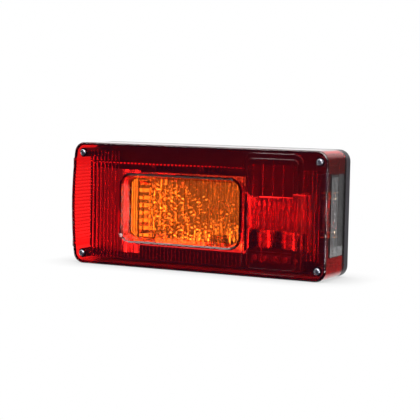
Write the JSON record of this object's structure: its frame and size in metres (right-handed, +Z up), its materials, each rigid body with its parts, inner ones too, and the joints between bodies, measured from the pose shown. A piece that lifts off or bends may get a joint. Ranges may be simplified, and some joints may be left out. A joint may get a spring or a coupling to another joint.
{
  "type": "tail light cluster",
  "caption": "Rectangular red rear lamp with a sunk amber indicator window, a raised stop and tail window and a clear end window for the number plate, on a black tray with mounting studs.",
  "frame": {"origin": "centre of the mounting face of the tray, midway between the two studs", "axes": "+X to the right as seen from the front, +Z up, the lens faces -Y and the studs point along +Y"},
  "size_m": [0.2504, 0.0734, 0.11],
  "materials": {
    "black_plastic": "moulded, satin",
    "seal_rubber": "matte",
    "red_lens": "transparent red acrylic",
    "amber_lens": "transparent amber acrylic",
    "clear_lens": "transparent clear acrylic",
    "screw_steel": "zinc plated",
    "bright_reflector": "metallised plastic",
    "socket_steel": "plated pressing",
    "contact_brass": "spring brass",
    "bulb_glass": "clear",
    "cap_metal": "plated brass"
  },
  "bodies": {
    "root": {"housing": "black_plastic", "lens_gasket": "seal_rubber", "red_lens": "red_lens", "amber_window": "amber_lens", "clear_end_window": "clear_lens", "lens_screws": "screw_steel", "indicator_reflector": "bright_reflector", "stop_tail_reflector": "bright_reflector", "bulb_carrier": "black_plastic", "indicator_holder": "black_plastic", "terminal_screws": "screw_steel", "bulb_sockets": "socket_steel", "contact_leaves": "contact_brass", "plate_bulb_glass": "bulb_glass", "plate_bulb_caps": "cap_metal", "plate_bulb_clips": "contact_brass", "mount_studs": "screw_steel", "cable_grommet": "seal_rubber", "indicator_bulb_glass": "bulb_glass", "indicator_bulb_cap": "cap_metal", "stop_bulb_glass": "bulb_glass", "stop_bulb_cap": "cap_metal", "tail_bulb_glass": "bulb_glass", "tail_bulb_cap": "cap_metal"}
  },
  "joints": []
}
